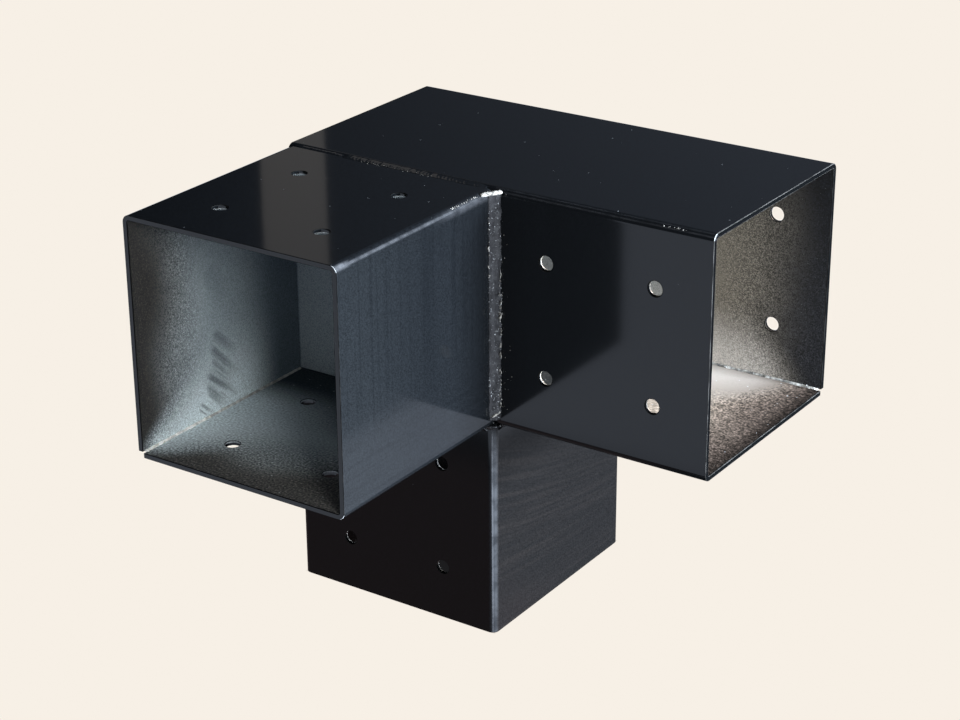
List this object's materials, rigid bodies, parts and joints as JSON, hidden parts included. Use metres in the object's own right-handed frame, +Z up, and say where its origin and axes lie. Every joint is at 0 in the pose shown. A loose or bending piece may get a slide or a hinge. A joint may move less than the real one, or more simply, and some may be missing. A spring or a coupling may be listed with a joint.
{
  "type": "three-way post connector",
  "caption": "Welded corner connector of folded black-painted steel sheet: square sockets for an upright post and two beams meet at right angles, with screw holes in opposite walls.",
  "frame": {"origin": "middle of the post socket's mouth, in the plane of its rim", "axes": "+Z up out of the post, +X out of the beam socket's mouth, -Y out of the side socket's mouth"},
  "size_m": [0.188, 0.191, 0.188],
  "materials": {
    "gloss_black_paint": "gloss black paint outside, thin overspray on grey steel inside",
    "painted_weld": "gloss black paint over a lumpy weld bead",
    "inside_weld": "bare weld bead dusted with overspray"
  },
  "bodies": {
    "root": {"beam_socket": "gloss_black_paint", "side_socket": "gloss_black_paint", "post_socket": "gloss_black_paint", "end_cap": "gloss_black_paint", "end_cap_weld": "painted_weld", "inner_corner_weld": "painted_weld", "under_seam_weld": "painted_weld", "post_side_weld": "painted_weld", "top_seam_weld": "painted_weld", "post_back_weld": "painted_weld", "beam_seam_weld": "inside_weld", "side_seam_weld": "inside_weld", "post_seam_weld": "inside_weld"}
  },
  "joints": []
}
